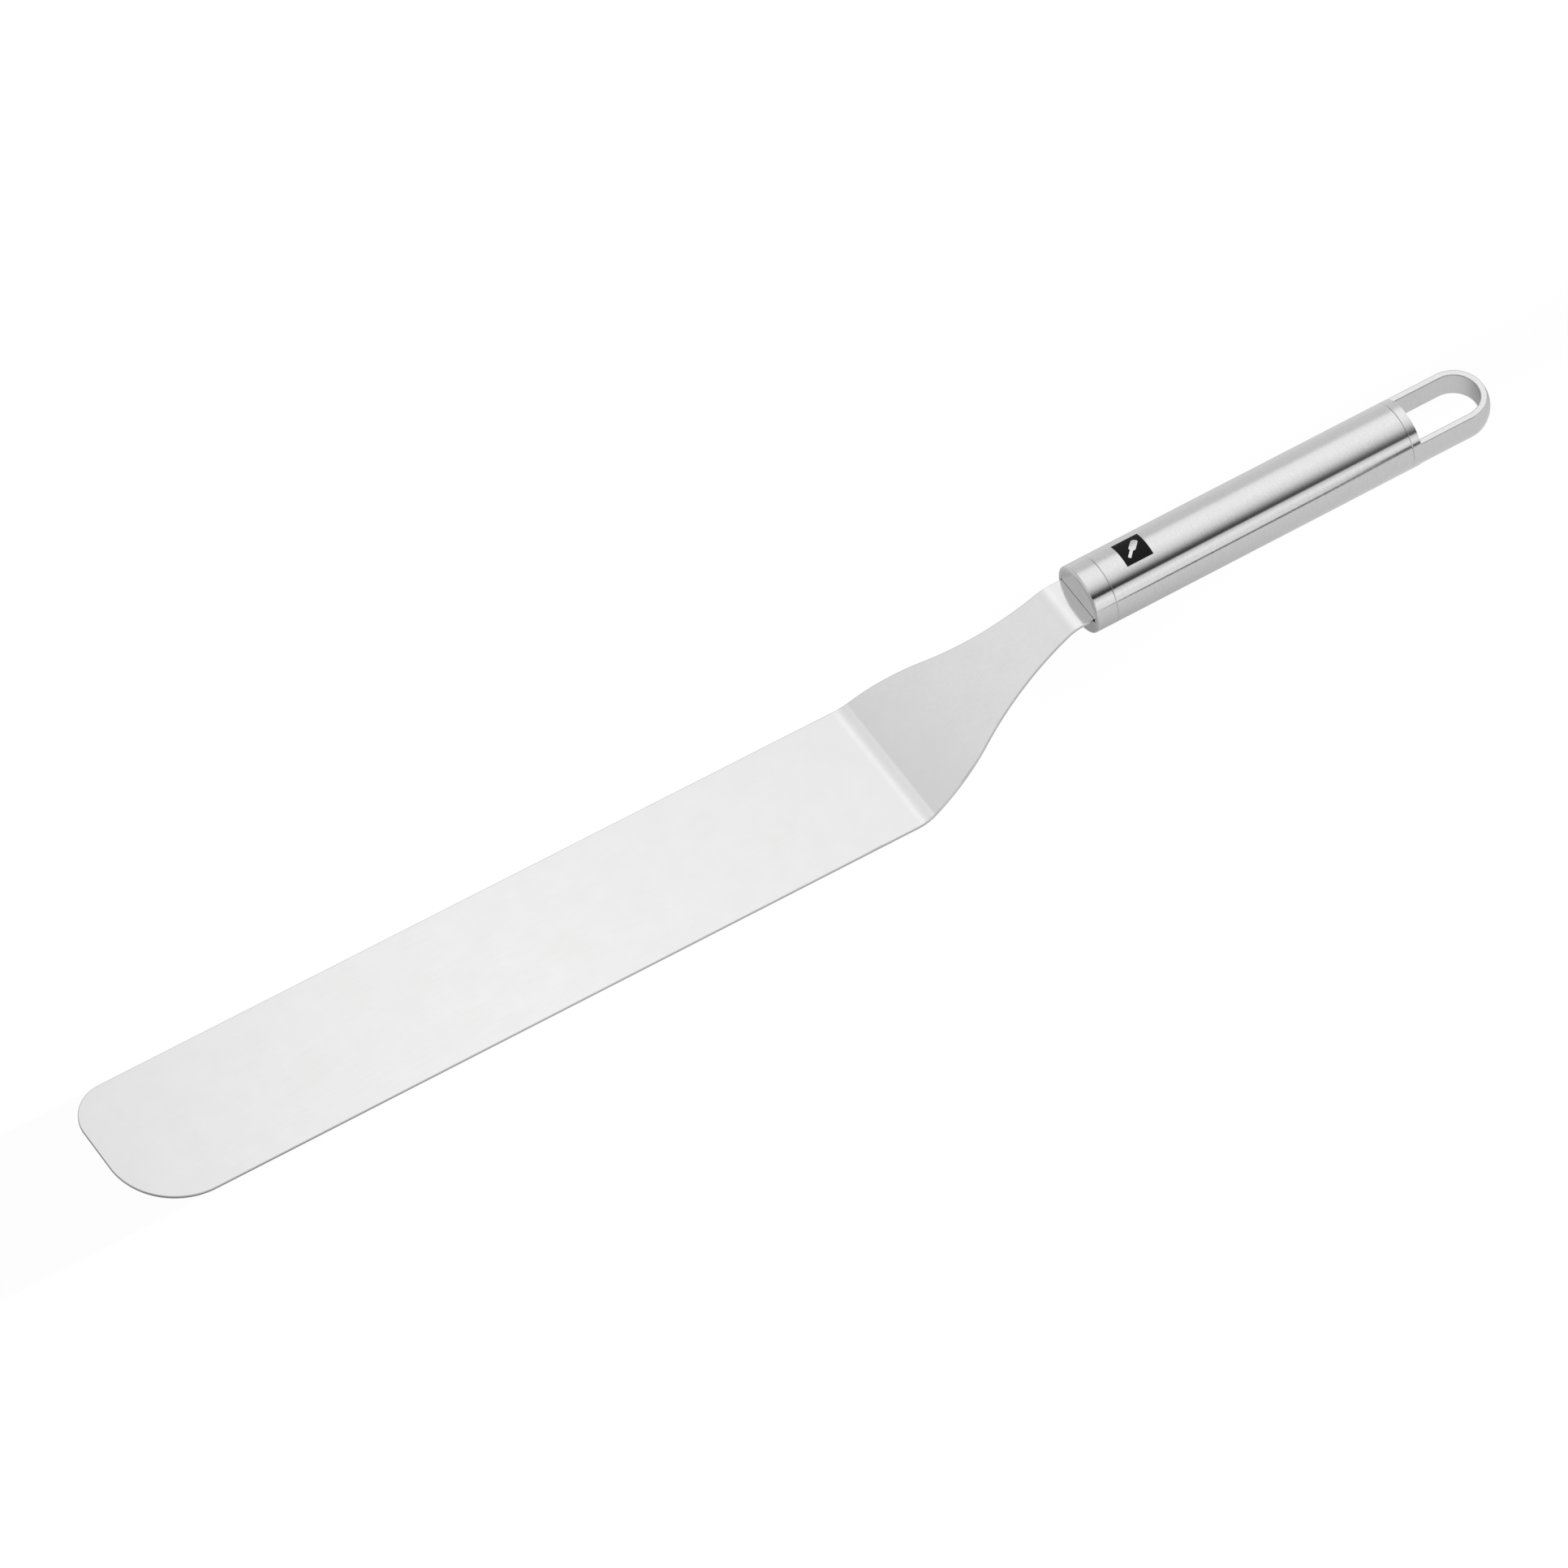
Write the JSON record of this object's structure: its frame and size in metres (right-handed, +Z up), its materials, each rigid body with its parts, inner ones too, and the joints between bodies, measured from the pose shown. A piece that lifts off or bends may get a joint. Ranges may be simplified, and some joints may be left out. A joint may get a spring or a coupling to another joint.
{
  "type": "offset spatula",
  "caption": "Long flat icing blade with a cranked neck and a raised round tubular handle that ends in a flat hanging loop.",
  "frame": {"origin": "centre of the footprint, on the plane of the blade's underside", "axes": "+X along the spatula from the blade's tip towards the hanging loop, +Y towards the small-radius corner of the tip, +Z up from the blade, the side that the handle is offset to"},
  "size_m": [0.3944, 0.0406, 0.0378],
  "materials": {
    "polished_blade_steel": "fine polished",
    "satin_cap_steel": "satin, brushed round the axis",
    "brushed_tube_steel": "satin, brushed round the axis",
    "potting_resin": "cast, grey filler",
    "bonding_adhesive": "cured film, clear amber",
    "black_print": "printed"
  },
  "bodies": {
    "root": {"blade": "polished_blade_steel", "front_cap": "satin_cap_steel", "handle_tube": "brushed_tube_steel", "hanging_end": "satin_cap_steel", "tang_potting": "potting_resin", "front_bond": "bonding_adhesive", "rear_bond": "bonding_adhesive", "badge_print": "black_print"}
  },
  "joints": []
}
